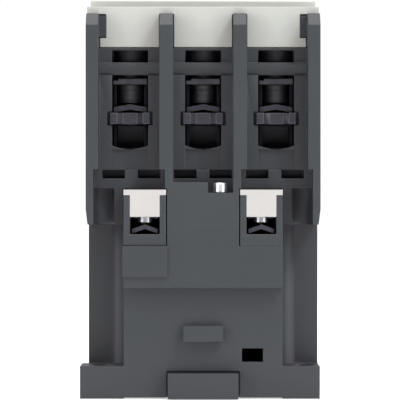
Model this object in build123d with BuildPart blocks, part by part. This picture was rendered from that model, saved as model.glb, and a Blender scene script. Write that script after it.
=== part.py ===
from build123d import *
import os

# Three-pole contactor in a 45 mm wide frame.
# X runs across the width, Y from the coil-terminal end (-Y) to the far end (+Y),
# Z from the mounting plane (0) out to the front cover. All sizes are in millimetres.

# Whole frame
frame_width = 45.0        # over the foot, with the mounting ear on the left
rib_reach = 42.5          # centre plane to the front faces of the ribs
edge_allowance = 3.6      # what three pole pitches leave over of the frame's width
ear_reach = 1.2           # how far the left ear stands out past the body
ear_length = 8.0
wall = 2.3                # outer walls of both housings
slack = 0.2               # clearance between pieces that slide past each other
seat_gap = 0.1            # air between mouldings that are pressed together
touch_gap = 0.02          # air left between parts that only meet when closed
clear = 1.0               # how far a cut runs on past the face that it opens

# Base housing
foot_height = 6.1
foot_inset = 2.5          # ribs to the end faces of the foot
seam_height = 32.7        # where the pole housing sits on the base
column_inset = 11.0       # ribs to the end faces of the side columns
column_width = 7.0        # side columns, beside the central block
column_fillet = 2.6
panel_drop = 11.8         # seam down to the lower edge of the raised upper panel
pad_relief = 0.25         # the middle of the foot stands this far off the wall
guide_stop = 1.0          # the core's guides end this far below its yoke's top
boss_width = 7.4
boss_bottom = 10.8
boss_height = 2.9
boss_reach = 1.8
vent_centre = 9.27
vent_width = 3.96
vent_bottom = 6.9
vent_height = 2.57
marker_block_drop = 9.75
marker_block_reach = 0.5

# Mounting: four screws through the foot, or a 35 mm rail
mount_inset_x = 3.15      # side walls to the mounting holes
mount_inset_y = 4.0       # end faces of the foot to the mounting holes
mount_hole = 4.5
rail_width = 35.0
rail_flange = 1.0
rail_groove_depth = 4.5
rail_catch_cover = 1.8    # how far each catch reaches behind the rail
clip_gap = 0.25
clip_tab_width = 13.2
clip_tab_height = 4.7
clip_tab_reach = 3.0
clip_bar_width = 10.0
clip_bar_thickness = 2.6
clip_spring_length = 10.0
clip_spring_diameter = 2.2

# Poles and their ribs
partition = 2.5
rib_chamfer = 2.3
channel_depth = 5.0       # ribs to the wall that holds the terminals
skirt_height = 10.3       # seam to the lower ends of the outer channels
centre_skirt_height = 7.85
skirt_taper = 0.35        # the housing's lower corners lean in by this much
skirt_taper_height = 2.9
recess_inner = 7.1        # half width of the central plate
recess_wall = 1.4         # outer wall left beside the lower recesses
terminal_wall = 0.9       # skin in front of each clamp cage
cover_drop = 6.3          # top of the ribs down to the top of the terminal walls
window_height = 2.36
window_lintel = 0.44
bridge_bar_lift = 0.63    # top of the cage at rest to the bar across the channel
bridge_bar_height = 2.3
bridge_bar_reach = 0.8
vent_slots = 6
vent_slot_pitch = 6.77
vent_slot_width = 4.25
vent_slot_height = 1.64
vent_slot_depth = 4.0
driver_recess_radius = 1.95
driver_recess_height = 6.85
side_slot_width = 3.0     # slots in the sides that hold add-on blocks
side_slot_height = 7.0
side_slot_depth = 1.2
side_slot_offset = 14.0
side_slot_gap = 7.7       # seam to the slots above and below it

# Screw clamp of each main terminal
cavity_depth = 5.69       # terminal bar down to the floor of its well
cavity_side_gap = 0.22
wire_room = 4.69          # terminal bar down to the round sill of the wire's mouth
wire_arc_radius = 8.7
wire_ramp_depth = 0.5
clamp_screw_diameter = 4.9
clamp_head_height = 3.6
clamp_head_rim = 0.8      # head past the shank, all round
clamp_head_chamfer = 0.4
clamp_head_room = 1.85    # head to the front of the terminal wall
clamp_fit = 0.05          # radial running clearance of the screws
cage_side_gap = 0.15
cage_length = 5.6
cage_wall = 0.6
cage_plate = 1.1          # top and bottom of the cage
cage_height = 14.17
cage_travel = 3.0
cage_lap_width = 0.9      # the step where the ends of the bent strip meet
cage_lap_depth = 0.35
drive_slot_width = 1.0
drive_slot_depth = 1.4
saddle_thickness = 1.07
saddle_rise = 0.6
access_rim = 0.35         # screw head to the edge of its hole in the cover

# Contacts
ledge_height = 1.99
bar_thickness = 2.19
bar_head_width = 7.6
bar_head_length = 1.9
bar_head_proud = 0.4
bar_head_gap = 0.5
bar_neck_width = 4.2
bar_inner_width = 6.6
bar_inner_end = 8.5
bar_land_width = 2.64
bar_notch_width = 4.9
bar_notch_depth = 0.9
tip_size = 4.0
tip_height = 1.2
contact_gap = 3.4
bridge_width = 4.4
bridge_thickness = 1.3
contact_over_travel = 1.1
contact_spring_drop = 2.3
contact_spring_diameter = 4.2
clamp_bay = 5.4           # screw axis to the end of the arc chamber
arc_plate_room = 3.5      # silver tips to the first arc plate
arc_plate_thickness = 1.0
arc_plate_pitch = 3.0
arc_plate_lift = 6.4
arc_plate_height = 13.0
chamber_floor_thickness = 1.6

# Magnet, coil and carrier
travel = contact_gap + contact_over_travel
base_floor = 6.5
cushion_thickness = 1.5
stack_inset = 7.9         # sides of the central block to the sides of the magnet
core_end_room = 5.4
yoke_height = 6.0
pole_height = 16.0        # fixed core, foot to pole faces
centre_leg = 10.8
outer_leg = 6.0
ring_thickness = 1.2
ring_depth = 1.8
bobbin_rise = 2.5         # seam to the top of the bobbin
bobbin_flange = 1.3
bobbin_flange_gap = 0.4
bobbin_corner = 2.0
bobbin_wall = 1.0
winding_margin = 1.0
winding_corner = 5.0
armature_room = 0.3       # left under the armature when closed, above the carrier at rest
pin_diameter = 3.0
carrier_plate = 1.7
carrier_plate_length = 16.0
carrier_side_gap = 2.0
cheek_thickness = 2.2
cheek_length = 8.0
cheek_depth = 5.2
post_width = 7.2
post_length = 7.0
post_drop = 0.7
indicator_size = 5.2
indicator_drop = 0.5
return_spring_gap = 0.8
return_spring_diameter = 4.6
spring_seat_rim = 0.5
spring_wire = 0.6
spring_turns = 4
spring_runs = 8           # straight runs in each turn

# Coil terminals at the -Y end
coil_terminal_inset = 4.02
coil_frame_width = 7.94
coil_frame_depth = 8.3
coil_frame_drop = 4.0     # seam down to the bottom of the frames
coil_frame_rise = 5.5
coil_insert_width = 5.57
coil_insert_low = 1.44    # seam to the bottom and to the top of the white inserts
coil_insert_high = 6.53
coil_lip_drop = 1.78
coil_lip_thickness = 1.0
coil_pocket_gap = 0.2
coil_plate_thickness = 0.7
coil_plate_width = 3.4
coil_plate_shift = 0.54   # the plates lie this far inward of their screws
coil_screw_inset = 2.9
coil_screw_diameter = 3.0
coil_head_diameter = 4.2
coil_head_height = 1.6
coil_slot_width = 0.5
coil_slot_depth = 0.8
coil_saddle_width = 4.98
coil_saddle_rise = 0.9
coil_saddle_thickness = 0.95
arm_width = 4.6
arm_thickness = 1.5

# Screws that join the housings
housing_screw_gap = 7.68  # coil terminals to the joining screws, across the width
housing_screw_inset = 2.6
housing_screw_head = 2.85
housing_screw_shank = 2.2
housing_screw_length = 15.0
screw_window_low = 2.3    # the window's edges, either side of the screw
screw_window_high = 2.42
screw_window_rise = 5.92

# Front cover
cover_plate = 1.4
cover_skin = 1.5
cover_inset = 5.2         # ribs to the cover's end faces
panel_gap = 0.15
platform_height = 2.7
platform_inset = 13.3     # cover's end faces to the platform
platform_round = 0.6
latch_width = 1.3
latch_height = 4.4
latch_length = 1.6
hook_slot_width = 2.2     # four slots in the platform that take a block's hooks
hook_slot_length = 5.0
hook_slot_inset = 4.5

# Places across the width
body_half = (frame_width - ear_reach) / 2
channel_edge = body_half - wall
block_half = body_half - column_width
stack_width = 2 * (block_half - stack_inset)
pole_pitch = (frame_width - edge_allowance) / 3
poles = [-pole_pitch, 0.0, pole_pitch]
inner_rib = (pole_pitch - partition) / 2
outer_rib = (pole_pitch + partition) / 2
channels = [(-channel_edge, -outer_rib), (-inner_rib, inner_rib), (outer_rib, channel_edge)]
coil_terminal_offset = block_half - coil_terminal_inset
housing_screw_offset = coil_terminal_offset - housing_screw_gap
cage_inside = clamp_screw_diameter + 2 * cage_side_gap
cage_width = cage_inside + 2 * cage_wall
cavity_width = cage_width + 2 * cavity_side_gap
clamp_head_diameter = clamp_screw_diameter + 2 * clamp_head_rim
cheek_inside = stack_width / 2 + slack
return_spring_offset = (
    cheek_inside + cheek_thickness + return_spring_gap + return_spring_diameter / 2
)
bobbin_flange_x = 2 * return_spring_offset + return_spring_diameter + 2 * spring_seat_rim
carrier_plate_width = 2 * (channel_edge - carrier_side_gap)

# Places along the length, measured from the centre plane
ends = (-1, 1)
foot_reach = rib_reach - foot_inset
column_reach = rib_reach - column_inset
floor_reach = rib_reach - channel_depth
wall_front = floor_reach - terminal_wall
cover_reach = rib_reach - cover_inset
platform_reach = cover_reach - platform_inset
clamp_axis_reach = floor_reach - clamp_head_room - clamp_head_diameter / 2
cavity_back = clamp_axis_reach - cage_length / 2 - slack - terminal_wall / 2
chamber_reach = clamp_axis_reach - clamp_bay
core_length = 2 * (chamber_reach - core_end_room)
leg_middle = core_length / 2 - outer_leg / 2
bobbin_flange_y = core_length - 2 * outer_leg - 2 * bobbin_flange_gap
bar_half = bar_inner_end + tip_size
arc_plate_first = bar_half + arc_plate_room
arc_plates_each_end = int((chamber_reach - arc_plate_first) / arc_plate_pitch)
coil_screw_axis = rib_reach - coil_screw_inset
insert_back = -rib_reach + coil_frame_depth
housing_screw_reach = rib_reach - housing_screw_inset
rail_half = rail_width / 2 + slack

# Heights, from the foot up: magnet, carrier, chambers, clamps, ribs, cover
yoke_bottom = base_floor + cushion_thickness
yoke_top = yoke_bottom + yoke_height
pole_face = yoke_bottom + pole_height
bobbin_top = seam_height + bobbin_rise
armature_bottom = pole_face + travel + touch_gap
armature_yoke = bobbin_top + travel + armature_room
armature_top = armature_yoke + yoke_height
pin_height = armature_yoke + yoke_height / 2
carrier_top = armature_top + carrier_plate
chamber_ceiling = carrier_top + armature_room
chamber_floor = chamber_ceiling + chamber_floor_thickness
bar_bottom = chamber_floor + ledge_height
bar_top = bar_bottom + bar_thickness
bridge_bottom = bar_top + 2 * tip_height + contact_gap + touch_gap
bridge_top = bridge_bottom + bridge_thickness
cavity_bottom = bar_bottom - cavity_depth
wire_arc_bottom = bar_bottom - wire_room
cage_bottom = cavity_bottom + slack
cage_top = cage_bottom + cage_height
saddle_top = bar_top + saddle_rise + saddle_thickness
clamp_head_bottom = cage_top + cage_travel + slack
clamp_head_top = clamp_head_bottom + clamp_head_height
bridge_bar_bottom = cage_top + bridge_bar_lift
bridge_bar_top = bridge_bar_bottom + bridge_bar_height
window_top = bridge_bar_top + window_height
terminal_wall_top = window_top + window_lintel
rib_top = terminal_wall_top + cover_drop
cover_bottom = rib_top + seat_gap
cover_top = cover_bottom + cover_plate
frame_depth = cover_top + platform_height
contact_spring_top = rib_top - contact_spring_drop
post_top = rib_top - post_drop
indicator_top = frame_depth - indicator_drop
channel_bottom = seam_height + skirt_height
centre_channel_bottom = seam_height + centre_skirt_height
screw_window_bottom = seam_height + screw_window_rise
panel_height = seam_height - panel_drop
coil_frame_bottom = seam_height - coil_frame_drop
coil_frame_top = seam_height + coil_frame_rise
coil_insert_bottom = seam_height + coil_insert_low
coil_insert_top = seam_height + coil_insert_high
coil_lip_top = seam_height - coil_lip_drop
coil_plate_bottom = coil_lip_top - coil_plate_thickness

os.makedirs("parts", exist_ok=True)


def loose_box(x, y, z):
    """A box that spans the three (low, high) pairs, joined to nothing yet."""
    size = [high - low for low, high in (x, y, z)]
    corner = Location((x[0], y[0], z[0]))
    return Box(*size, align=(Align.MIN,) * 3, mode=Mode.PRIVATE).moved(corner)


def add_each(spans):
    """Add all the boxes that span the given (x, y, z) pairs, in one step."""
    add([loose_box(*span) for span in spans])


def cut_each(spans):
    """Cut all the boxes that span the given (x, y, z) pairs, in one step."""
    add([loose_box(*span) for span in spans], mode=Mode.SUBTRACT)


def block(x, y, z):
    """Add the box that spans the three (low, high) pairs."""
    add_each([(x, y, z)])


def cut(x, y, z):
    """Cut the box that spans the three (low, high) pairs."""
    cut_each([(x, y, z)])


def about(middle, width):
    """The (low, high) pair of a width laid about its middle."""
    return (middle - width / 2, middle + width / 2)


def reach(end, near, far):
    """The (low, high) pair between two distances from the centre plane, at one end."""
    return tuple(sorted((end * near, end * far)))


def facing(y):
    """The upright plane at the far side of the span y, for an extrusion that fills the span."""
    return Plane.XZ.offset(-y[1])


def rod(x, y, z, diameter, mode=Mode.ADD):
    """Add or cut an upright round between the heights z = (low, high)."""
    with Locations((x, y, z[0])):
        align = (Align.CENTER, Align.CENTER, Align.MIN)
        Cylinder(diameter / 2, z[1] - z[0], align=align, mode=mode)


def turned(x, y, outline):
    """Turn a half outline of (radius, height) points about the upright axis at (x, y)."""
    with BuildSketch(Plane.XZ.offset(-y)) as half:
        with BuildLine():
            Polyline(*[(x + radius, height) for radius, height in outline], close=True)
        make_face()
    revolve(half.sketch, axis=Axis((x, y, 0), (0, 0, 1)))


def upright(middle, width, z):
    """Sketch a rectangle of the given width that stands between the heights z."""
    with Locations((middle, sum(z) / 2)):
        Rectangle(width, z[1] - z[0])


def roof(middle, width, low, rise, thickness):
    """Sketch a plate bent to a shallow roof across X, with its feet at the height low."""
    half = width / 2
    with BuildLine() as bent:
        Polyline(
            (middle - half, low),
            (middle, low + rise),
            (middle + half, low),
            (middle + half, low + thickness),
            (middle, low + rise + thickness),
            (middle - half, low + thickness),
            close=True,
        )
    make_face(bent.edges())


def coil_spring(start, direction, length, diameter):
    """A compression spring from its start point, drawn as a coil of straight runs of wire."""
    radius = (diameter - spring_wire) / 2
    climb = length - spring_wire
    first = Vector(*start) + Vector(*direction) * (spring_wire / 2)
    runs = spring_turns * spring_runs
    with BuildPart() as spring:
        with BuildLine():
            pitch = climb / spring_turns
            coil = Helix(
                pitch, climb, radius, center=first, direction=direction, mode=Mode.PRIVATE
            )
            corners = [coil @ (run / runs) for run in range(runs + 1)]
            Polyline(*corners)
        with BuildSketch(Plane(corners[0], z_dir=corners[1] - corners[0])):
            RegularPolygon(spring_wire / 2, 6)
        sweep(transition=Transition.RIGHT)
    return spring.part


def finish(part, name):
    """Label a finished piece and write it to its own file."""
    part.label = name
    export_step(part, f"parts/{name}.step")


# Base housing: the foot, the rail groove and the open box that holds the magnet and coil
with BuildPart() as base_housing:
    with BuildSketch(Plane.XY.offset(foot_height)) as outline:
        Rectangle(2 * body_half, 2 * column_reach)
        Rectangle(2 * block_half, 2 * foot_reach)
        inner_corners = [
            corner
            for corner in outline.vertices()
            if abs(corner.X) < body_half - slack and abs(corner.Y) < column_reach + slack
        ]
        fillet(inner_corners, column_fillet)
    extrude(amount=seam_height - foot_height)
    with BuildSketch(Plane.XY):
        Rectangle(2 * body_half, 2 * foot_reach)
        with Locations(*[(-body_half, end * (foot_reach - ear_length / 2)) for end in ends]):
            Rectangle(2 * ear_reach, ear_length)
    extrude(amount=foot_height)
    block((-block_half, block_half), (-rib_reach, rib_reach), (panel_height, seam_height))
    block(
        about(-coil_terminal_offset, coil_frame_width + 2 * coil_pocket_gap),
        (-rib_reach - marker_block_reach, -rib_reach),
        (seam_height - marker_block_drop, coil_frame_bottom),
    )
    block(
        about(0, boss_width),
        (-foot_reach - boss_reach, -foot_reach),
        (boss_bottom, boss_bottom + boss_height),
    )
    # the fixed pad at the far end stands as proud as the clip's tab
    block(
        about(0, clip_tab_width),
        (foot_reach, foot_reach + clip_tab_reach),
        (slack, slack + clip_tab_height),
    )

    # the inside: one wide well for the magnet, carried on into the central block
    with BuildSketch(Plane.XY.offset(base_floor)):
        Rectangle(2 * channel_edge, 2 * (column_reach - wall))
        Rectangle(2 * (block_half - wall), 2 * (foot_reach - wall))
    extrude(amount=seam_height - base_floor, mode=Mode.SUBTRACT)
    for side in ends:
        guide = reach(side, cheek_inside, cheek_inside + wall / 2)
        block(guide, about(0, carrier_plate_length), (base_floor, yoke_top - guide_stop))
        cut(
            about(side * coil_terminal_offset, coil_frame_width + 2 * coil_pocket_gap),
            (-rib_reach - clear, insert_back + slack),
            (coil_frame_bottom, seam_height + clear),
        )
    cut(
        about(vent_centre, vent_width),
        (-foot_reach - clear, -foot_reach + wall + clear),
        (vent_bottom, vent_bottom + vent_height),
    )
    side_slots = seam_height - side_slot_gap - side_slot_height / 2
    with Locations((0, 0, side_slots)):
        with GridLocations(2 * body_half, 2 * side_slot_offset, 2, 2):
            Box(2 * side_slot_depth, side_slot_width, side_slot_height, mode=Mode.SUBTRACT)

    # the rear: rail groove with its fixed catch, slideway of the clip, raised corner pads
    across = (-body_half - ear_reach - clear, body_half + clear)
    cut(across, (-rail_half, rail_half), (-clear, rail_groove_depth))
    catch_top = rail_groove_depth - rail_flange - slack
    for side in ends:
        block(
            reach(side, clip_bar_width / 2, block_half),
            (rail_half - rail_catch_cover, rail_half),
            (clip_gap, catch_top),
        )
    cut(
        about(0, clip_bar_width + 2 * clip_gap),
        (-foot_reach - clear, -rail_half),
        (-clear, clip_bar_thickness + 2 * clip_gap),
    )
    cut(
        about(0, clip_tab_width + 2 * clip_gap),
        (-foot_reach - clear, -foot_reach + wall / 2),
        (-clear, clip_tab_height + 2 * clip_gap),
    )
    for end in ends:
        relief = reach(end, rail_half, foot_reach + clip_tab_reach)
        cut((-block_half, block_half), relief, (-clear, pad_relief))
    # the post that the clip's spring pushes against
    post_front = -rail_half - rail_catch_cover - clip_spring_length + slack
    block(
        about(0, clip_spring_diameter),
        (post_front - wall / 2, post_front),
        (2 * clip_gap, foot_height - clear),
    )

    with Locations((0, 0, foot_height)):
        mount_pitch_x = 2 * (body_half - mount_inset_x)
        mount_pitch_y = 2 * (foot_reach - mount_inset_y)
        with GridLocations(mount_pitch_x, mount_pitch_y, 2, 2):
            Hole(mount_hole / 2)
    for end in ends:
        rod(
            -end * housing_screw_offset,
            end * housing_screw_reach,
            (screw_window_bottom - housing_screw_length - clear, seam_height),
            housing_screw_shank + slack,
            Mode.SUBTRACT,
        )
finish(base_housing.part, "base_housing")


# Pole housing: ribs, terminal walls, arc chambers and the skirt over the magnet
with BuildPart() as pole_housing:
    with BuildSketch(facing((-rib_reach, rib_reach))):
        with BuildLine():
            Polyline(
                (-body_half, rib_top),
                (-body_half, seam_height + skirt_taper_height),
                (-body_half + skirt_taper, seam_height),
                (body_half - skirt_taper, seam_height),
                (body_half, seam_height + skirt_taper_height),
                (body_half, rib_top),
                close=True,
            )
        make_face()
    extrude(amount=2 * rib_reach)

    # open channels between the ribs, in front of and above each terminal wall
    open_spans = []
    for end in ends:
        outside = reach(end, floor_reach, rib_reach + clear)
        above_wall = reach(end, chamber_reach - clear, floor_reach + clear)
        for left, right in channels:
            bottom = centre_channel_bottom if left * right < 0 else channel_bottom
            open_spans.append(((left, right), outside, (bottom, rib_top + clear)))
            open_spans.append(((left, right), above_wall, (terminal_wall_top, rib_top + clear)))
        for side in ends:
            recess = reach(side, recess_inner, body_half - recess_wall)
            open_spans.append((recess, outside, (seam_height - clear, channel_bottom)))
    cut_each(open_spans)
    rib_ends = [
        edge
        for edge in pole_housing.edges().filter_by(Axis.X).group_by(Axis.Z)[-1]
        if abs(edge.center().Y) > rib_reach - slack
    ]
    chamfer(rib_ends, rib_chamfer)
    with Locations((0, 0, seam_height)):
        with GridLocations(mount_pitch_x, 2 * floor_reach, 2, 2):
            align = (Align.CENTER, Align.CENTER, Align.MIN)
            Cylinder(driver_recess_radius, driver_recess_height, align=align, mode=Mode.SUBTRACT)
    side_slots = seam_height + side_slot_gap + side_slot_height / 2
    with Locations((0, 0, side_slots)):
        with GridLocations(2 * body_half, 2 * side_slot_offset, 2, 2):
            Box(2 * side_slot_depth, side_slot_width, side_slot_height, mode=Mode.SUBTRACT)

    # arc chambers above the floor, skirt cavity below it, guides of the carrier posts
    inside = (-chamber_reach, chamber_reach)
    guide_y = about(0, post_length + 2 * slack)
    hollows = [(channel, inside, (chamber_floor, rib_top + clear)) for channel in channels]
    skirt = (-channel_edge, channel_edge)
    hollows.append((skirt, inside, (seam_height - clear, chamber_ceiling)))
    for pole in poles:
        guide = about(pole, post_width + 2 * slack)
        hollows.append((guide, guide_y, (chamber_ceiling - clear, chamber_floor + clear)))
    cut_each(hollows)

    # wells of the screw clamps, with the pocket and the slot of each terminal bar
    wells = []
    for end in ends:
        front = floor_reach + clear
        for pole in poles:
            well = about(pole, cavity_width)
            wells.append((well, reach(end, cavity_back, wall_front), (cavity_bottom, rib_top)))
            wells.append((well, reach(end, wall_front - clear, front), (bar_bottom, window_top)))
            ramp = reach(end, floor_reach - wire_ramp_depth, front)
            wells.append((well, ramp, (channel_bottom, wire_arc_bottom)))
            head_back = floor_reach - bar_head_length + bar_head_proud - touch_gap
            pocket_x = about(pole, bar_head_width + 2 * bar_head_gap)
            pocket_z = (bar_bottom - slack, bar_top + slack)
            wells.append((pocket_x, reach(end, head_back, front), pocket_z))
            neck_y = reach(end, chamber_reach - clear, cavity_back + clear)
            neck_z = (bar_bottom - touch_gap, bar_top + touch_gap)
            wells.append((about(pole, bar_neck_width + slack), neck_y, neck_z))
    cut_each(wells)
    for end in ends:
        mouth = (wire_arc_bottom, bar_bottom)
        with BuildSketch(facing(reach(end, wall_front, front))):
            with Locations(*[(pole, wire_arc_bottom + wire_arc_radius) for pole in poles]):
                Circle(wire_arc_radius)
            with Locations(*[(pole, sum(mouth) / 2) for pole in poles]):
                opening = Rectangle(cavity_width, mouth[1] - mouth[0], mode=Mode.PRIVATE)
            add(opening, mode=Mode.INTERSECT)
        extrude(amount=front - wall_front, mode=Mode.SUBTRACT)

    # vent slots, windows over the joining screws, and their bores
    for end in ends:
        slots = []
        for place in range(vent_slots):
            middle = (place - (vent_slots - 1) / 2) * vent_slot_pitch
            deep = reach(end, floor_reach - vent_slot_depth, front)
            slot_z = (channel_bottom - vent_slot_height, channel_bottom)
            slots.append((about(middle, vent_slot_width), deep, slot_z))
        window = reach(
            -end,
            housing_screw_offset - screw_window_low,
            housing_screw_offset + screw_window_high,
        )
        window_z = (screw_window_bottom, centre_channel_bottom + clear)
        slots.append((window, reach(end, floor_reach, rib_reach + clear), window_z))
        cut_each(slots)
        rod(
            -end * housing_screw_offset,
            end * housing_screw_reach,
            (seam_height - clear, screw_window_bottom + clear),
            housing_screw_shank + slack,
            Mode.SUBTRACT,
        )

    # pockets of the coil terminals, at one end only
    pockets = []
    for side in ends:
        middle = side * coil_terminal_offset
        pocket = about(middle, coil_frame_width + 2 * coil_pocket_gap)
        pocket_y = (-rib_reach - clear, insert_back + slack)
        pockets.append((pocket, pocket_y, (seam_height - clear, coil_insert_top + slack)))
        passage_y = (insert_back, -chamber_reach + clear)
        passage_z = (seam_height - clear, bobbin_top + slack)
        pockets.append((about(middle, arm_width + 2 * slack), passage_y, passage_z))
    cut_each(pockets)

    # bars across the channels, ledges under the fixed contacts, noses for the cover
    bars = []
    for end in ends:
        bar_y = reach(end, wall_front, floor_reach + bridge_bar_reach)
        bars += [(channel, bar_y, (bridge_bar_bottom, bridge_bar_top)) for channel in channels]
        ledge_y = reach(end, bar_half, bar_half + tip_size)
        ledge_z = (chamber_floor, bar_bottom)
        bars += [(about(pole, bar_inner_width), ledge_y, ledge_z) for pole in poles]
        nose_y = reach(end, cover_reach - cover_skin, cover_reach - cover_skin + latch_length)
        nose_z = (rib_top - latch_height + slack, rib_top - slack)
        bars += [(reach(s, channel_edge - latch_width, channel_edge), nose_y, nose_z) for s in ends]
    add_each(bars)
finish(pole_housing.part, "pole_housing")


# Front cover: end panels between the ribs, a shoulder over them and the raised platform
with BuildPart() as front_cover:
    with BuildSketch(Plane.YZ.offset(-body_half)):
        upright(0, 2 * cover_reach, (cover_bottom, cover_top))
        upright(0, 2 * platform_reach, (cover_bottom, frame_depth))
    extrude(amount=2 * body_half)
    fillet(front_cover.edges().group_by(Axis.Z)[-1], platform_round)
    panels = []
    notches = []
    for end in ends:
        skin = reach(end, cover_reach - cover_skin, cover_reach)
        for left, right in channels:
            panel = (left + panel_gap, right - panel_gap)
            panels.append((panel, skin, (terminal_wall_top + panel_gap, cover_bottom)))
        for side in ends:
            notch = reach(side, channel_edge - latch_width, channel_edge)
            notch_y = reach(end, cover_reach - 2 * cover_skin, cover_reach + clear)
            notches.append((notch, notch_y, (rib_top - latch_height, cover_bottom)))
    add_each(panels)
    hollow = (-platform_reach + cover_skin, platform_reach - cover_skin)
    notches.append((skirt, hollow, (cover_bottom - clear, frame_depth - cover_skin)))
    window = about(0, indicator_size + 2 * slack)
    notches.append((window, window, (cover_bottom, frame_depth + clear)))
    cut_each(notches)
    hook_x = body_half - hook_slot_inset
    hook_y = platform_reach - hook_slot_inset
    with Locations((0, 0, frame_depth)):
        with GridLocations(2 * hook_x, 2 * hook_y, 2, 2):
            Box(hook_slot_width, hook_slot_length, 2 * cover_skin + clear, mode=Mode.SUBTRACT)
    with Locations((0, 0, cover_top)):
        with GridLocations(pole_pitch, 2 * clamp_axis_reach, len(poles), 2):
            Hole(clamp_head_diameter / 2 + access_rim, depth=cover_plate + clear)
finish(front_cover.part, "front_cover")


# Two screws that hold the pole housing down on the base
with BuildPart() as housing_screws:
    for end in ends:
        shank = housing_screw_shank / 2
        head = housing_screw_head / 2
        tip = screw_window_bottom - housing_screw_length
        head_top = centre_channel_bottom - touch_gap
        outline = [
            (0, tip),
            (shank, tip),
            (shank, screw_window_bottom),
            (head, screw_window_bottom),
            (head, head_top),
            (0, head_top),
        ]
        turned(-end * housing_screw_offset, end * housing_screw_reach, outline)
finish(housing_screws.part, "housing_screws")


# Rubber cushion under the fixed core
with BuildPart() as core_cushion:
    block(about(0, stack_width), about(0, core_length), (base_floor, yoke_bottom))
finish(core_cushion.part, "core_cushion")


def laminated_e(yoke, tips):
    """Extrude a stack of E-shaped sheets, with the yoke's heights and the legs' far ends."""
    legs = (min(yoke[0], tips), max(yoke[1], tips))
    with BuildSketch(Plane.YZ) as sheet:
        upright(0, core_length, yoke)
        upright(0, centre_leg, legs)
        for end in ends:
            upright(end * leg_middle, outer_leg, legs)
    extrude(sheet.sketch, amount=stack_width / 2, both=True)


# Fixed core: laminated E, its outer pole faces grooved for the shading rings
with BuildPart() as fixed_core:
    laminated_e((yoke_bottom, yoke_top), pole_face)
    ring_low = pole_face - ring_depth
    for end in ends:
        cut(
            about(0, stack_width + 2 * clear),
            about(end * leg_middle, ring_thickness),
            (ring_low, pole_face + clear),
        )
finish(fixed_core.part, "fixed_core")


# Shading rings: a copper loop round the outer half of each outer pole face
with BuildPart() as shading_rings:
    with BuildSketch(Plane.XY.offset(ring_low)):
        for end in ends:
            inside_edge = leg_middle + ring_thickness / 2
            outside_edge = core_length / 2
            with Locations((0, end * (inside_edge + outside_edge) / 2)):
                length = outside_edge - inside_edge
                Rectangle(stack_width + 2 * ring_thickness, length + 2 * ring_thickness)
                Rectangle(stack_width, length, mode=Mode.SUBTRACT)
    extrude(amount=ring_thickness)
finish(shading_rings.part, "shading_rings")


# Coil bobbin: flanged tube, with two arms that carry the white terminal inserts
with BuildPart() as coil_bobbin:
    tube_x = stack_width + 2 * slack + 2 * bobbin_wall
    tube_y = centre_leg + 2 * slack + 2 * bobbin_wall
    block(about(0, tube_x), about(0, tube_y), (yoke_top, bobbin_top))
    for low in (yoke_top, bobbin_top - bobbin_flange):
        with BuildSketch(Plane.XY.offset(low)):
            RectangleRounded(bobbin_flange_x, bobbin_flange_y, bobbin_corner)
        extrude(amount=bobbin_flange)
    cut(
        about(0, tube_x - 2 * bobbin_wall),
        about(0, tube_y - 2 * bobbin_wall),
        (yoke_top - clear, bobbin_top + clear),
    )
    with BuildSketch(facing((-rib_reach, insert_back))):
        for side in ends:
            middle = side * coil_terminal_offset
            upright(middle, coil_insert_width, (coil_insert_bottom, coil_insert_top))
            upright(middle, coil_frame_width, (coil_frame_top, coil_insert_top))
    extrude(amount=coil_frame_depth)
    for side in ends:
        middle = side * coil_terminal_offset
        block(
            about(middle, arm_width),
            (insert_back - clear, -bobbin_flange_y / 2 + clear),
            (bobbin_top - arm_thickness, bobbin_top),
        )
        place = (middle, -coil_screw_axis)
        bore = coil_screw_diameter + 2 * clamp_fit
        rod(*place, (coil_insert_bottom - clear, coil_insert_top), bore, Mode.SUBTRACT)
        seat = coil_insert_top - coil_head_height - slack
        seat_bore = coil_head_diameter + slack
        rod(*place, (seat, coil_insert_top + clear), seat_bore, Mode.SUBTRACT)
finish(coil_bobbin.part, "coil_bobbin")


# Winding: enamelled copper wire laid on the bobbin
with BuildPart() as coil_winding:
    with BuildSketch(Plane.XY.offset(yoke_top + bobbin_flange)):
        winding_x = bobbin_flange_x - 2 * winding_margin
        winding_y = bobbin_flange_y - 2 * winding_margin
        RectangleRounded(winding_x, winding_y, winding_corner)
        Rectangle(tube_x, tube_y, mode=Mode.SUBTRACT)
    extrude(amount=bobbin_top - yoke_top - 2 * bobbin_flange)
finish(coil_winding.part, "coil_winding")


# Frames of the coil terminals: dark U-shaped mouldings clipped round the white inserts
with BuildPart() as coil_terminal_frames:
    with BuildSketch(facing((-rib_reach, insert_back))):
        for side in ends:
            middle = side * coil_terminal_offset
            upright(middle, coil_frame_width, (coil_frame_bottom, coil_frame_top))
            with Locations((middle, coil_frame_top)):
                notch_align = (Align.CENTER, Align.MAX)
                notch_height = coil_frame_top - coil_lip_top
                Rectangle(coil_insert_width, notch_height, align=notch_align, mode=Mode.SUBTRACT)
    extrude(amount=coil_frame_depth)
    for side in ends:
        # behind its lip the frame's floor is lower, to take the terminal plate
        cut(
            about(side * coil_terminal_offset, coil_insert_width),
            (-rib_reach + coil_lip_thickness, insert_back + clear),
            (coil_plate_bottom, coil_frame_top),
        )
finish(coil_terminal_frames.part, "coil_terminal_frames")


# Plates that lead from the winding into the coil terminals
with BuildPart() as coil_terminal_plates:
    for side in ends:
        middle = side * (coil_terminal_offset - coil_plate_shift)
        block(
            about(middle, coil_plate_width),
            (-rib_reach + coil_lip_thickness, -winding_y / 2),
            (coil_plate_bottom, coil_lip_top - touch_gap),
        )
finish(coil_terminal_plates.part, "coil_terminal_plates")


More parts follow.
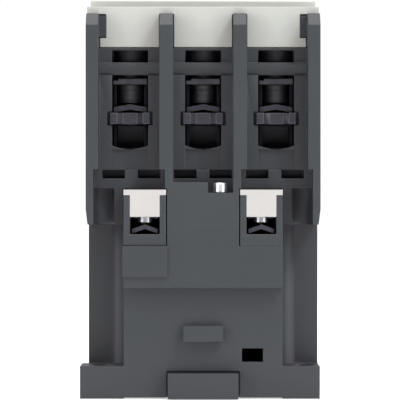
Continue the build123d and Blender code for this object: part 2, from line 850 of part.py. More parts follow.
# Coil terminal saddles and screws, one pair at each coil terminal
for side, place_name in ((-1, "left"), (1, "right")):
    middle = side * coil_terminal_offset
    with BuildPart() as coil_saddle:
        saddle_y = (-rib_reach + coil_lip_thickness, insert_back - clear)
        with BuildSketch(facing(saddle_y)):
            roof(
                middle,
                coil_saddle_width,
                coil_lip_top,
                coil_saddle_rise,
                coil_saddle_thickness,
            )
        extrude(amount=saddle_y[1] - saddle_y[0])
    finish(coil_saddle.part, f"coil_saddle_{place_name}")

    with BuildPart() as coil_screw:
        tip = coil_lip_top + coil_saddle_rise + coil_saddle_thickness + touch_gap
        head_top = coil_insert_top - slack / 2
        neck = head_top - coil_head_height
        outline = [
            (0, tip),
            (coil_screw_diameter / 2, tip),
            (coil_screw_diameter / 2, neck),
            (coil_head_diameter / 2, neck),
            (coil_head_diameter / 2, head_top),
            (0, head_top),
        ]
        turned(middle, -coil_screw_axis, outline)
        cut(
            about(middle, coil_head_diameter + clear),
            about(-coil_screw_axis, coil_slot_width),
            (head_top - coil_slot_depth, head_top + clear),
        )
    finish(coil_screw.part, f"coil_screw_{place_name}")


def terminal_bar(pole, end):
    """Sketch one terminal bar: a T-shaped head with a notch, a narrow neck, a wide inner end."""
    head_front = floor_reach + bar_head_proud
    head_back = head_front - bar_head_length
    neck_back = chamber_reach - clear
    widths = (
        (bar_head_width, head_back, head_front),
        (bar_neck_width, neck_back, head_back),
        (bar_inner_width, bar_inner_end, neck_back),
    )
    for width, near, far in widths:
        with Locations((pole, end * (near + far) / 2)):
            Rectangle(width, far - near)
    front = end * head_front
    notch = end * (head_front - bar_notch_depth)
    with BuildLine() as facets:
        Polyline(
            (pole - bar_notch_width / 2, front),
            (pole - bar_land_width / 2, notch),
            (pole + bar_land_width / 2, notch),
            (pole + bar_notch_width / 2, front),
            close=True,
        )
    make_face(facets.edges(), mode=Mode.SUBTRACT)


# Fixed contacts: one stamped bar from each terminal into its arc chamber
for end, contacts_name in ((-1, "line_contacts"), (1, "load_contacts")):
    with BuildPart() as contacts:
        with BuildSketch(Plane.XY.offset(bar_bottom)):
            for pole in poles:
                terminal_bar(pole, end)
        extrude(amount=bar_thickness)
    finish(contacts.part, contacts_name)


# Silver tips brazed on the fixed contacts
with BuildPart() as fixed_contact_tips:
    with BuildSketch(Plane.XY.offset(bar_top)):
        with GridLocations(pole_pitch, 2 * bar_inner_end + tip_size, len(poles), 2):
            Rectangle(tip_size, tip_size)
    extrude(amount=tip_height)
finish(fixed_contact_tips.part, "fixed_contact_tips")


# Arc plates: notched steel plates that stand between the chamber walls
with BuildPart() as arc_plates:
    arc_plate_bottom = chamber_floor + arc_plate_lift
    plate_top = arc_plate_bottom + arc_plate_height
    notch_top = arc_plate_bottom + arc_plate_height / 2
    notch_half = bridge_width / 2 + clear
    for end in ends:
        for place in range(arc_plates_each_end):
            near = arc_plate_first + place * arc_plate_pitch
            with BuildSketch(facing(reach(end, near, near + arc_plate_thickness))):
                for left, right in channels:
                    middle = (left + right) / 2
                    plate_width = right - left - 2 * slack
                    upright(middle, plate_width, (arc_plate_bottom, plate_top))
                    with BuildLine():
                        Polyline(
                            (middle - notch_half, arc_plate_bottom),
                            (middle, notch_top),
                            (middle + notch_half, arc_plate_bottom),
                            close=True,
                        )
                    make_face(mode=Mode.SUBTRACT)
            extrude(amount=arc_plate_thickness)
finish(arc_plates.part, "arc_plates")


# Armature: laminated E that the coil pulls down onto the fixed core
with BuildPart() as armature:
    laminated_e((armature_yoke, armature_top), armature_bottom)
    with Locations((0, 0, pin_height)):
        along_x = (0, 90, 0)
        Cylinder(pin_diameter / 2, stack_width + clear, rotation=along_x, mode=Mode.SUBTRACT)
finish(armature.part, "armature")


# Pin that ties the armature to the contact carrier
pin_length = 2 * (cheek_inside + cheek_thickness)
with BuildPart() as armature_pin:
    with Locations((0, 0, pin_height)):
        Cylinder(pin_diameter / 2, pin_length, rotation=along_x)
finish(armature_pin.part, "armature_pin")


# Contact carrier: plate and cheeks on the armature, one windowed post in each pole
with BuildPart() as contact_carrier:
    plate = (armature_top, carrier_top)
    block(about(0, carrier_plate_width), about(0, carrier_plate_length), plate)
    for side in ends:
        cheek = reach(side, cheek_inside, cheek_inside + cheek_thickness)
        block(cheek, about(0, cheek_length), (armature_top - cheek_depth, armature_top))
    with Locations((0, 0, pin_height)):
        Cylinder(pin_diameter / 2, pin_length + clear, rotation=along_x, mode=Mode.SUBTRACT)
    posts = [(about(p, post_width), about(0, post_length), (armature_top, post_top)) for p in poles]
    add_each(posts)
    post_window = (bridge_bottom - touch_gap, contact_spring_top)
    through = about(0, post_length + 2 * clear)
    cut_each([(about(p, bridge_width + 2 * slack), through, post_window) for p in poles])
    block(about(0, indicator_size), about(0, indicator_size), (post_top, indicator_top))
finish(contact_carrier.part, "contact_carrier")


# Moving contacts and their springs, one in each window of the carrier
for number, pole in enumerate(poles, start=1):
    with BuildPart() as moving_contact:
        block(about(pole, bridge_width), (-bar_half, bar_half), (bridge_bottom, bridge_top))
        for end in ends:
            tip_y = reach(end, bar_inner_end, bar_half)
            block(about(pole, tip_size), tip_y, (bridge_bottom - tip_height, bridge_bottom))
    finish(moving_contact.part, f"moving_contact_{number}")

    spring_length = contact_spring_top - bridge_top
    start = (pole, 0, bridge_top)
    contact_spring = coil_spring(start, (0, 0, 1), spring_length, contact_spring_diameter)
    finish(contact_spring, f"contact_spring_{number}")


# Two return springs between the bobbin and the carrier
return_length = armature_top - bobbin_top
return_pair = [
    coil_spring(
        (side * return_spring_offset, 0, bobbin_top),
        (0, 0, 1),
        return_length,
        return_spring_diameter,
    )
    for side in ends
]
with BuildPart() as return_springs:
    add(return_pair)
finish(return_springs.part, "return_springs")


# Rail clip: pull tab, sliding bar with a slot for its spring, catch behind the rail
with BuildPart() as rail_clip:
    bar_height = (clip_gap, clip_gap + clip_bar_thickness)
    block(
        about(0, clip_tab_width),
        (-foot_reach - clip_tab_reach, -foot_reach),
        (slack, slack + clip_tab_height),
    )
    catch_end = -rail_half + rail_catch_cover
    block(about(0, clip_bar_width), (-foot_reach, catch_end), bar_height)
    slot_end = post_front + clip_spring_length
    slot_start = post_front - wall / 2 - slack
    cut(about(0, clip_spring_diameter + 2 * slack), (slot_start, slot_end), (-clear, foot_height))
    catch_slope = rail_clip.edges().filter_by(Axis.X).group_by(Axis.Y)[-1].sort_by(Axis.Z)[0]
    chamfer(catch_slope, rail_catch_cover / 2)
finish(rail_clip.part, "rail_clip")


# Spring of the rail clip, lying in the clip's slot against the base's post
start = (0, post_front, clip_gap + clip_bar_thickness / 2)
rail_clip_spring = coil_spring(start, (0, 1, 0), clip_spring_length, clip_spring_diameter)
finish(rail_clip_spring, "rail_clip_spring")


# Thrust saddles between the clamp screws and the terminal bars, notched for the cages
with BuildPart() as clamp_saddles:
    plate_front = wall_front - slack
    cage_back = clamp_axis_reach - cage_length / 2
    for end in ends:
        saddle_y = reach(end, cage_back, plate_front)
        with BuildSketch(facing(saddle_y)):
            for pole in poles:
                roof(pole, cage_width, bar_top, saddle_rise, saddle_thickness)
        extrude(amount=plate_front - cage_back)
    cage_front = clamp_axis_reach + cage_length / 2 + slack
    side_cuts = []
    for end in ends:
        for pole in poles:
            for side in ends:
                sides = reach(side, cage_inside / 2 - slack, cage_width)
                notch_x = (pole + sides[0], pole + sides[1])
                notch_y = reach(end, cage_back - clear, cage_front)
                side_cuts.append((notch_x, notch_y, (bar_bottom, saddle_top)))
    cut_each(side_cuts)
finish(clamp_saddles.part, "clamp_saddles")


# Clamp cages: steel strip bent to a box round the bar, its screw held in the top plate.
# Turning the screw lifts the cage, which grips the wire against the underside of the bar.
clamp_places = [(pole, end) for end in ends for pole in poles]
for number, (pole, end) in enumerate(clamp_places, start=1):
    place = (pole, end * clamp_axis_reach)
    with BuildPart() as clamp_cage:
        cage_y = about(end * clamp_axis_reach, cage_length)
        with BuildSketch(facing(cage_y)):
            upright(pole, cage_width, (cage_bottom, cage_top))
            with Locations((pole, (cage_bottom + cage_top) / 2)):
                Rectangle(cage_inside, cage_height - 2 * cage_plate, mode=Mode.SUBTRACT)
        extrude(amount=cage_length)
        top_y = reach(end, clamp_axis_reach, plate_front)
        block(about(pole, cage_width), top_y, (cage_top - cage_plate, cage_top))
        lap_x = reach(end, cage_width / 2 - cage_lap_width, cage_width)
        lap_y = reach(end, clamp_axis_reach - cage_length, floor_reach)
        cut((pole + lap_x[0], pole + lap_x[1]), lap_y, (cage_top - cage_lap_depth, cage_top + clear))
        bore = clamp_screw_diameter + 2 * clamp_fit
        rod(*place, (cage_top - cage_plate - clear, cage_top + clear), bore, Mode.SUBTRACT)
    finish(clamp_cage.part, f"clamp_cage_{number}")

    with BuildPart() as clamp_screw:
        shank = clamp_screw_diameter / 2
        head = clamp_head_diameter / 2
        outline = [
            (0, saddle_top + touch_gap),
            (shank, saddle_top + touch_gap),
            (shank, clamp_head_bottom),
            (head, clamp_head_bottom),
            (head, clamp_head_top - clamp_head_chamfer),
            (head - clamp_head_chamfer, clamp_head_top),
            (0, clamp_head_top),
        ]
        turned(*place, outline)
        cut(
            about(pole, clamp_head_diameter + clear),
            about(place[1], drive_slot_width),
            (clamp_head_top - drive_slot_depth, clamp_head_top + clear),
        )
    finish(clamp_screw.part, f"clamp_screw_{number}")
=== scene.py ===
import math

import bmesh
import bpy
from mathutils import Matrix, Vector


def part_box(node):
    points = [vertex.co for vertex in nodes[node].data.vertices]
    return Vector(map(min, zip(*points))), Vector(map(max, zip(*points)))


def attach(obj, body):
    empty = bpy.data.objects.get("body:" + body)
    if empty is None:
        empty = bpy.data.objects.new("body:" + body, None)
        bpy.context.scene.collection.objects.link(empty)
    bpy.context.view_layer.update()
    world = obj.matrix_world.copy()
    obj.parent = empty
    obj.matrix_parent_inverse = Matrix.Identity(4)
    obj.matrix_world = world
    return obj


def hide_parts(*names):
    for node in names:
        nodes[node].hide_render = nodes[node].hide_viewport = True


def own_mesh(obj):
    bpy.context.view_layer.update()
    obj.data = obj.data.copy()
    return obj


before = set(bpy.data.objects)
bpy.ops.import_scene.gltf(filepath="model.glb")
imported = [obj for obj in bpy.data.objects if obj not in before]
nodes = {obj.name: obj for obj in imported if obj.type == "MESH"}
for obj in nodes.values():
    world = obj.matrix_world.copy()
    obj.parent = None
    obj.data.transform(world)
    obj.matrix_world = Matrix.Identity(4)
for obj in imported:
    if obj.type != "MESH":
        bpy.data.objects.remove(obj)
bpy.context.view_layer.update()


# The studio: a product shot taken straight at the coil-terminal end from about 0.4 m.
# A white table in a white room, lit by a key lamp high on the right, a soft lamp above and a
# strip lamp on each side. The flat faces and the bright screws mirror a black card.
mm = 0.001
picture_width = 400              # pixels
focal_pixels = 2132.4            # focal length in pixels, from the perspective of the photograph
content_shift = 3.1              # pixels that the contactor sits right of the centre
sensor_width = 36.0
foot_front = -40 * mm            # end face of the foot
camera_distance = 400 * mm       # from that face to the lens
camera_height = 37.3 * mm        # level with the middle of the contactor
nearest_shown = 10 * mm
room_light = (1.04, 1.0, 1.06, 1)     # a trace of violet, as the shadows in the photograph have
table_size = 6000 * mm
table_white = (0.75, 0.75, 0.75, 1)
table_glow = 0.40                # keeps the floor as pale as it is in the photograph
card_width, card_height = 760 * mm, 560 * mm
card_place = foot_front - camera_distance - 20 * mm     # just behind the lens
lamp_aim = Vector((0, -30 * mm, 45 * mm))
lamps = [
    # name, place in m, width and height in m, watts, colour
    ("key_lamp", (0.36, -0.42, 0.62), (0.16, 0.16), 3.4, (0.94, 1.0, 1.0)),
    ("top_lamp", (-0.05, -0.12, 0.70), (0.45, 0.45), 3.0, (1.0, 0.99, 0.96)),
    ("left_strip", (-0.42, -0.42, 0.10), (0.04, 0.50), 1.15, (1.0, 0.97, 1.0)),
    ("right_strip", (0.42, -0.42, 0.10), (0.04, 0.50), 1.15, (1.0, 0.97, 1.0)),
]


def hex_colour(code):
    """An sRGB hex colour as linear light, with alpha."""
    parts = [int(code[i:i + 2], 16) / 255 for i in (1, 3, 5)]
    light = [p / 12.92 if p <= 0.04045 else ((p + 0.055) / 1.055) ** 2.4 for p in parts]
    return (*light, 1.0)


def add_node(tree, kind, inputs=None, **settings):
    """Add a node, with its settings, and with each input set to a value or joined to an output."""
    made = tree.nodes.new(kind)
    for name, value in settings.items():
        setattr(made, name, value)
    for socket, value in (inputs or {}).items():
        if isinstance(value, bpy.types.NodeSocket):
            tree.links.new(value, made.inputs[socket])
        else:
            made.inputs[socket].default_value = value
    return made


def new_material(name):
    """An empty node material and its tree."""
    material = bpy.data.materials.new(name)
    material.use_nodes = True
    material.node_tree.nodes.clear()
    return material, material.node_tree


def rectangle(width, height):
    """The corners of a rectangle round the origin, in order."""
    return [(x * width / 2, y * height / 2) for x, y in ((-1, -1), (1, -1), (1, 1), (-1, 1))]


def studio_panel(name, corners, material, in_view=True):
    """A flat panel that belongs to the studio and not to the contactor."""
    mesh = bpy.data.meshes.new(name)
    mesh.from_pydata(corners, [], [(0, 1, 2, 3)])
    mesh.materials.append(material)
    panel = bpy.data.objects.new(name, mesh)
    panel.visible_camera = in_view
    bpy.context.scene.collection.objects.link(panel)


camera_data = bpy.data.cameras.new("camera")
camera_data.sensor_width = sensor_width
camera_data.lens = sensor_width * focal_pixels / picture_width
camera_data.shift_x = -content_shift / picture_width
camera_data.clip_start = nearest_shown
camera = bpy.data.objects.new("camera", camera_data)
camera.location = (0, foot_front - camera_distance, camera_height)
camera.rotation_euler = (math.radians(90), 0, 0)
bpy.context.scene.collection.objects.link(camera)
bpy.context.scene.camera = camera
bpy.context.scene.view_settings.view_transform = "Standard"

world = bpy.data.worlds.new("white room")
bpy.context.scene.world = world
world.use_nodes = True
world.node_tree.nodes.clear()
room = add_node(world.node_tree, "ShaderNodeBackground", {"Color": room_light, "Strength": 1.0})
add_node(world.node_tree, "ShaderNodeOutputWorld", {"Surface": room.outputs[0]})

laminate, tree = new_material("white_table_laminate")
laminate_shader = add_node(
    tree,
    "ShaderNodeBsdfPrincipled",
    {
        "Base Color": table_white,
        "Roughness": 0.7,
        "Emission Color": hex_colour("#ffffff"),
        "Emission Strength": table_glow,
    },
)
add_node(tree, "ShaderNodeOutputMaterial", {"Surface": laminate_shader.outputs[0]})
studio_panel("table", [(x, y, 0) for x, y in rectangle(table_size, table_size)], laminate)

black_card, tree = new_material("black_card")
card_shader = add_node(
    tree, "ShaderNodeBsdfPrincipled", {"Base Color": hex_colour("#141414"), "Roughness": 0.9}
)
add_node(tree, "ShaderNodeOutputMaterial", {"Surface": card_shader.outputs[0]})
card_corners = [
    (x, card_place, camera_height + z) for x, z in rectangle(card_width, card_height)
]
studio_panel("card", card_corners, black_card, in_view=False)

for lamp_name, lamp_place, (width, height), watts, colour in lamps:
    lamp_data = bpy.data.lights.new(lamp_name, "AREA")
    lamp_data.shape = "RECTANGLE"
    lamp_data.size = width
    lamp_data.size_y = height
    lamp_data.energy = watts
    lamp_data.color = colour
    lamp = bpy.data.objects.new(lamp_name, lamp_data)
    lamp.location = lamp_place
    beam = lamp_aim - Vector(lamp_place)
    lamp.rotation_euler = beam.to_track_quat("-Z", "Y").to_euler()
    bpy.context.scene.collection.objects.link(lamp)


# Base housing, coil terminal frames and rail clip: dark grey glass-filled polyamide, injection
# moulded in spark-eroded moulds. Two screws hold the base to the pole housing, the frames sit
# in the housings, and the clip slides in the foot.
polyamide_edge = 0.18 * mm
mould_radius = 0.25 * mm         # corners as the mould leaves them, in the shading of each plastic
cloud_size = 11 * mm             # slow changes of tone, where the melt flowed
tone_span = (0.30, 0.70)         # where in a pattern each of its two tones is full
wall_reach = 12 * mm             # a wall this near still closes a place in, for the painted shade
painted_shade_span = (0.40, 0.95)       # openness where the painted shade of recesses is full, and where it ends
painted_shade_inner = 0.64              # openness where it ends inwards, if there are painted tones for the deepest places
grain_gloss = 0.06               # how much the grain changes the roughness
weld_distance = 0.002 * mm       # joins the points that a mesh repeats along its edges
sharp_angle = math.radians(35)   # an edge sharper than this is seen as an edge, and rounded


def moulded_plastic(name, colour, shade, hollow_painted_shade, roughness, grain, relief, ior=1.5, painted_deep_tones=()):
    """Moulded plastic: two close tones in slow clouds, painted shade in hollows, grain in the
    relief.

    The grain of a real mould is nearer 0.1 mm: it is drawn as coarse as it needs to show.
    Painted tones of the deepest places, shade and light, are given with their openness, from the
    deepest outwards.
    """
    material, tree = new_material(name)
    place = add_node(tree, "ShaderNodeTexCoord").outputs["Object"]
    clouds = add_node(
        tree, "ShaderNodeTexNoise", {"Vector": place, "Scale": 1 / cloud_size, "Detail": 3.0}
    )
    skin_tone = add_node(tree, "ShaderNodeValToRGB", {"Fac": clouds.outputs["Fac"]})
    for element, position, code in zip(skin_tone.color_ramp.elements, tone_span, (shade, colour)):
        element.position = position
        element.color = hex_colour(code)
    openness = add_node(tree, "ShaderNodeAmbientOcclusion", {"Distance": wall_reach}, samples=8)
    depth = add_node(
        tree,
        "ShaderNodeMapRange",
        {
            "Value": openness.outputs["AO"],
            "From Min": painted_shade_span[0],
            "From Max": painted_shade_span[1],
        },
    )
    # the colour of recesses is painted shade, set by how closed in each place is
    painted_shade_tone = hex_colour(hollow_painted_shade)
    if painted_deep_tones:
        painted_deep_ramp = add_node(tree, "ShaderNodeValToRGB", {"Fac": openness.outputs["AO"]})
        stops = (*painted_deep_tones, (painted_shade_inner, hollow_painted_shade))
        while len(painted_deep_ramp.color_ramp.elements) < len(stops):
            painted_deep_ramp.color_ramp.elements.new(1.0)
        for element, (position, code) in zip(painted_deep_ramp.color_ramp.elements, stops):
            element.position = position
            element.color = hex_colour(code)
        painted_shade_tone = painted_deep_ramp.outputs["Color"]
    tone = add_node(
        tree,
        "ShaderNodeMixRGB",
        {
            "Fac": depth.outputs["Result"],
            "Color1": painted_shade_tone,
            "Color2": skin_tone.outputs["Color"],
        },
    )
    fine = add_node(
        tree, "ShaderNodeTexNoise", {"Vector": place, "Scale": 1 / grain, "Detail": 2.0}
    )
    dull = add_node(
        tree,
        "ShaderNodeMapRange",
        {
            "Value": fine.outputs["Fac"],
            "To Min": roughness - grain_gloss,
            "To Max": roughness + grain_gloss,
        },
    )
    rounding = add_node(tree, "ShaderNodeBevel", {"Radius": mould_radius}, samples=6)
    skin = add_node(
        tree,
        "ShaderNodeBump",
        {
            "Height": fine.outputs["Fac"],
            "Strength": 0.5,
            "Distance": relief,
            "Normal": rounding.outputs["Normal"],
        },
    )
    shader = add_node(
        tree,
        "ShaderNodeBsdfPrincipled",
        {
            "Base Color": tone.outputs["Color"],
            "Roughness": dull.outputs["Result"],
            "Normal": skin.outputs["Normal"],
            "IOR": ior,
        },
    )
    add_node(tree, "ShaderNodeOutputMaterial", {"Surface": shader.outputs[0]})
    return material


def coat(piece, material, edge):
    """Give a piece its material, and round its sharp edges to a real radius."""
    piece.data.materials.clear()
    piece.data.materials.append(material)
    weld = piece.modifiers.new("weld", "WELD")
    weld.merge_threshold = weld_distance
    bevel = piece.modifiers.new("edges", "BEVEL")
    bevel.width = edge
    bevel.segments = 2
    bevel.limit_method = "ANGLE"
    bevel.angle_limit = sharp_angle
    bevel.harden_normals = True


# The moulded skin is dull, finely grained and bluish grey. Its tones in recesses are painted: a
# little violet painted shade in most hollows, bluish painted shade beside the ribs, and paler
# painted light at the bottom of the wells.
polyamide = moulded_plastic(
    "glass_filled_polyamide_moulded",
    colour="#2c3033",
    shade="#292d2f",
    # colour of the painted shade in recesses
    hollow_painted_shade="#323036",
    roughness=0.55,
    grain=0.30 * mm,
    relief=0.02 * mm,
    # painted shade and painted light by openness, from the deepest places outwards
    painted_deep_tones=((0.12, "#45464b"), (0.38, "#323036"), (0.50, "#272b2d"), (0.57, "#272b2d")),
)
for node_name in ("base_housing", "coil_terminal_frames", "rail_clip"):
    coat(nodes[node_name], polyamide, polyamide_edge)


# Pole housing: one moulding of the same polyamide, with the ribs and the terminal wells.
# The bar across each channel slopes back underneath, so that the slope lies in shadow.
bar_front = 38.3 * mm            # from the middle of the contactor to the front of the bars
bar_low, bar_high = 60.9 * mm, 63.2 * mm
bar_lip = 0.5 * mm               # upright strip left above the slope
bar_slope = 1.3 * mm             # how far the slope runs back
overcut = 0.02 * mm              # by which the cutter stands out of the faces that it opens
channel_half = 5.65 * mm         # half the width of the middle channel
channel_inner, channel_outer = 8.15 * mm, 19.6 * mm
channels = (
    (-channel_outer, -channel_inner),
    (-channel_half, channel_half),
    (channel_inner, channel_outer),
)


def solid_piece(name, shape, material, smooth_angle=sharp_angle):
    """Turn a bmesh into an object, smooth but for edges sharper than the angle."""
    for face in shape.faces:
        face.smooth = True
    for edge in shape.edges:
        edge.smooth = edge.calc_face_angle(0) < smooth_angle
    mesh = bpy.data.meshes.new(name)
    shape.to_mesh(mesh)
    shape.free()
    mesh.materials.append(material)
    piece = bpy.data.objects.new(name, mesh)
    bpy.context.scene.collection.objects.link(piece)
    return piece


def carve(piece, cutters):
    """Cut the cutter meshes out of a piece, and keep the result as its mesh."""
    for shape in cutters:
        cutter = solid_piece("cutter", shape, piece.data.materials[0])
        cut = piece.modifiers.new("recess", "BOOLEAN")
        cut.operation = "DIFFERENCE"
        cut.solver = "EXACT"
        cut.object = cutter
        bpy.context.view_layer.update()
        seen = piece.evaluated_get(bpy.context.evaluated_depsgraph_get())
        carved = bpy.data.meshes.new_from_object(seen)
        piece.modifiers.clear()
        piece.data = carved
        bpy.data.objects.remove(cutter)


def wedge(channel, end):
    """The wedge that a bar's slope leaves out, in one channel at one end."""
    shape = bmesh.new()
    front = bar_front + overcut
    bottom = bar_low - overcut
    corners = [(front, bar_high - bar_lip), (front, bottom), (bar_front - bar_slope, bottom)]
    sides = [[shape.verts.new((x, end * y, z)) for y, z in corners] for x in channel]
    shape.faces.new(sides[0])
    shape.faces.new(reversed(sides[1]))
    for step in range(3):
        after = (step + 1) % 3
        shape.faces.new((sides[0][step], sides[1][step], sides[1][after], sides[0][after]))
    bmesh.ops.recalc_face_normals(shape, faces=shape.faces)
    return shape


housing_shape = bmesh.new()
housing_shape.from_mesh(nodes["pole_housing"].data)
housing_shape.transform(nodes["pole_housing"].matrix_world)
bmesh.ops.remove_doubles(housing_shape, verts=housing_shape.verts, dist=weld_distance)
pole_housing = solid_piece("moulded_pole_housing", housing_shape, polyamide)
carve(pole_housing, [wedge(channel, end) for channel in channels for end in (-1, 1)])
coat(pole_housing, polyamide, polyamide_edge)
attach(pole_housing, "frame")
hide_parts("pole_housing")


# Front cover: one off-white moulding that snaps over the pole housing.
# Polycarbonate from a fine mould has a satin skin, here a little warm in tone.
polycarbonate = moulded_plastic(
    "polycarbonate_satin_moulded",
    colour="#b4b6af",
    shade="#afb1aa",
    # colour of the painted shade in recesses
    hollow_painted_shade="#9c9b96",
    roughness=0.42,
    grain=0.35 * mm,
    relief=0.01 * mm,
    ior=1.58,
)
coat(nodes["front_cover"], polycarbonate, edge=0.25 * mm)


# Coil bobbin: white polybutylene terephthalate, moulded in one with the two terminal inserts,
# which are the white blocks over the coil terminals. It is smooth and slightly glossy.
white_polyester = moulded_plastic(
    "polybutylene_terephthalate_moulded",
    colour="#b0aeaa",
    shade="#aaa8a4",
    # colour of the painted shade in recesses
    hollow_painted_shade="#94928f",
    roughness=0.35,
    grain=0.4 * mm,
    relief=0.006 * mm,
)
coat(nodes["coil_bobbin"], white_polyester, edge=0.15 * mm)


# Contact carrier: black phenolic resin, pressed hot, which slides in the pole housing.
# Pressed phenolic is hard and half dull.
phenolic = moulded_plastic(
    "phenolic_pressed",
    colour="#2a2b2d",
    shade="#232426",
    # colour of the painted shade in recesses
    hollow_painted_shade="#17171a",
    roughness=0.4,
    grain=0.5 * mm,
    relief=0.01 * mm,
)
coat(nodes["contact_carrier"], phenolic, edge=0.15 * mm)


# Core cushion: black sheet rubber, die cut, laid under the fixed core to soften the closing.
# The sheet is matt and takes the light softly.
rubber = moulded_plastic(
    "sheet_rubber_die_cut",
    colour="#1c1c1d",
    shade="#161617",
    # colour of the painted shade in recesses
    hollow_painted_shade="#101011",
    roughness=0.8,
    grain=0.6 * mm,
    relief=0.03 * mm,
)
coat(nodes["core_cushion"], rubber, edge=0.1 * mm)


# Coil winding: enamelled copper wire, wound on the bobbin and wrapped in black polyester tape.
# The tape is half glossy and shows the turns under it.
wrapped_winding = moulded_plastic(
    "polyester_tape_wrapped",
    colour="#1e1d1f",
    shade="#171618",
    # colour of the painted shade in recesses
    hollow_painted_shade="#0e0e0f",
    roughness=0.3,
    grain=0.5 * mm,
    relief=0.05 * mm,
)
coat(nodes["coil_winding"], wrapped_winding, edge=0.3 * mm)


# Clamp cages and saddles: steel strip, stamped and bent, zinc plated and passivated dark.
# The cages hang on the clamp screws, and the saddles lie under them or inside the coil frames.
clamp_edge = 0.12 * mm
cage_plate = 1.05 * mm           # thickness of the plate on top of a cage
plate_fade = 0.1 * mm
shaded_wall = 0.22               # share of its tone that a wall keeps in the shade of the well
strip_reach = 4 * mm             # a wall this near still closes a place in, for the painted shade
painted_strip_shade_span = (0.10, 0.60)        # openness where the painted shade of a recess is darkest, and where it ends
line_gloss = 0.2                 # share by which the lines change the roughness


def rolled_metal(
    name, colour, shade, roughness, line, relief, stretch=(1, 1, 12), hollow_painted_shade=0.25, lit_above=None
):
    """A metal with fine lines along one direction, with painted shade in recesses and below a
    height.

    Real rolling lines are hundredths of a millimetre apart: they are drawn as coarse as they
    need to show.
    """
    material, tree = new_material(name)
    place = add_node(tree, "ShaderNodeTexCoord").outputs["Object"]
    along = add_node(
        tree, "ShaderNodeMapping", {"Vector": place, "Scale": [1 / s for s in stretch]}
    )
    lines = add_node(
        tree,
        "ShaderNodeTexNoise",
        {"Vector": along.outputs["Vector"], "Scale": 1 / line, "Detail": 3.0},
    )
    strip_tone = add_node(tree, "ShaderNodeValToRGB", {"Fac": lines.outputs["Fac"]})
    for element, position, code in zip(strip_tone.color_ramp.elements, tone_span, (shade, colour)):
        element.position = position
        element.color = hex_colour(code)
    openness = add_node(tree, "ShaderNodeAmbientOcclusion", {"Distance": strip_reach}, samples=8)
    depth = add_node(
        tree,
        "ShaderNodeMapRange",
        {
            "Value": openness.outputs["AO"],
            "From Min": painted_strip_shade_span[0],
            "From Max": painted_strip_shade_span[1],
            "To Min": hollow_painted_shade,
        },
    )
    # recesses get painted shade, mixed towards black
    tone = add_node(
        tree,
        "ShaderNodeMixRGB",
        {
            "Fac": depth.outputs["Result"],
            "Color1": hex_colour("#000000"),
            "Color2": strip_tone.outputs["Color"],
        },
    )
    # below the given height the tone gets painted shade
    if lit_above is not None:
        split = add_node(tree, "ShaderNodeSeparateXYZ", {"Vector": place})
        fade = add_node(
            tree,
            "ShaderNodeMapRange",
            {
                "Value": split.outputs["Z"],
                "From Min": lit_above - plate_fade,
                "From Max": lit_above + plate_fade,
                "To Min": shaded_wall,
            },
        )
        tone = add_node(
            tree,
            "ShaderNodeMixRGB",
            {
                "Fac": fade.outputs["Result"],
                "Color1": hex_colour("#000000"),
                "Color2": tone.outputs["Color"],
            },
        )
    dull = add_node(
        tree,
        "ShaderNodeMapRange",
        {
            "Value": lines.outputs["Fac"],
            "To Min": roughness * (1 - line_gloss),
            "To Max": roughness * (1 + line_gloss),
        },
    )
    skin = add_node(
        tree,
        "ShaderNodeBump",
        {"Height": lines.outputs["Fac"], "Strength": 0.4, "Distance": relief},
    )
    shader = add_node(
        tree,
        "ShaderNodeBsdfPrincipled",
        {
            "Base Color": tone.outputs["Color"],
            "Metallic": 1.0,
            "Roughness": dull.outputs["Result"],
            "Normal": skin.outputs["Normal"],
        },
    )
    add_node(tree, "ShaderNodeOutputMaterial", {"Surface": shader.outputs[0]})
    return material


# The dark plate is dull and near black, with faint lines along the strip.
dark_zinc = rolled_metal(
    "steel_dark_passivated",
    colour="#54535a",
    shade="#47464c",
    roughness=0.5,
    line=0.3 * mm,
    relief=0.01 * mm,
)
# The cage walls below the plate get painted shade, the shade of the well drawn into their tone.
low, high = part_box("clamp_cage_1")
cage_zinc_painted_shade = rolled_metal(
    "steel_dark_passivated_painted_wall_shade",
    colour="#5c5b60",
    shade="#4e4d52",
    roughness=0.5,
    line=0.3 * mm,
    relief=0.01 * mm,
    lit_above=high.z - cage_plate,
)
for number in range(1, 7):
    coat(nodes[f"clamp_cage_{number}"], cage_zinc_painted_shade, clamp_edge)
for node_name in ("clamp_saddles", "coil_saddle_left", "coil_saddle_right"):
    coat(nodes[node_name], dark_zinc, clamp_edge)


# Terminal bars: stamped copper strip, fixed in the pole housing, with a dull tin plate.
# The small plates of the coil terminals are brass with the same plate. Tin is plain grey, and
# its highlights are soft and broad.
bar_edge = 0.15 * mm
coil_plate_edge = 0.1 * mm
along_y = (1, 12, 1)             # the lines of a strip that runs from end to end
tin_plate = rolled_metal(
    "copper_dull_tin_plated",
    colour="#58575d",
    shade="#4c4b50",
    roughness=0.48,
    line=0.25 * mm,
    relief=0.008 * mm,
    stretch=along_y,
)
for node_name in ("line_contacts", "load_contacts"):
    coat(nodes[node_name], tin_plate, bar_edge)
coat(nodes["coil_terminal_plates"], tin_plate, coil_plate_edge)


# Moving contacts and shading rings: stamped from bare copper, rosy and half glossy.
# The contacts lie in the carrier's windows, and the rings are pressed into the fixed core.
copper = rolled_metal(
    "copper_stamped",
    colour="#b87a58",
    shade="#a86a49",
    roughness=0.35,
    line=0.3 * mm,
    relief=0.008 * mm,
    stretch=along_y,
)
for node_name in ("moving_contact_1", "moving_contact_2", "moving_contact_3", "shading_rings"):
    coat(nodes[node_name], copper, edge=0.12 * mm)


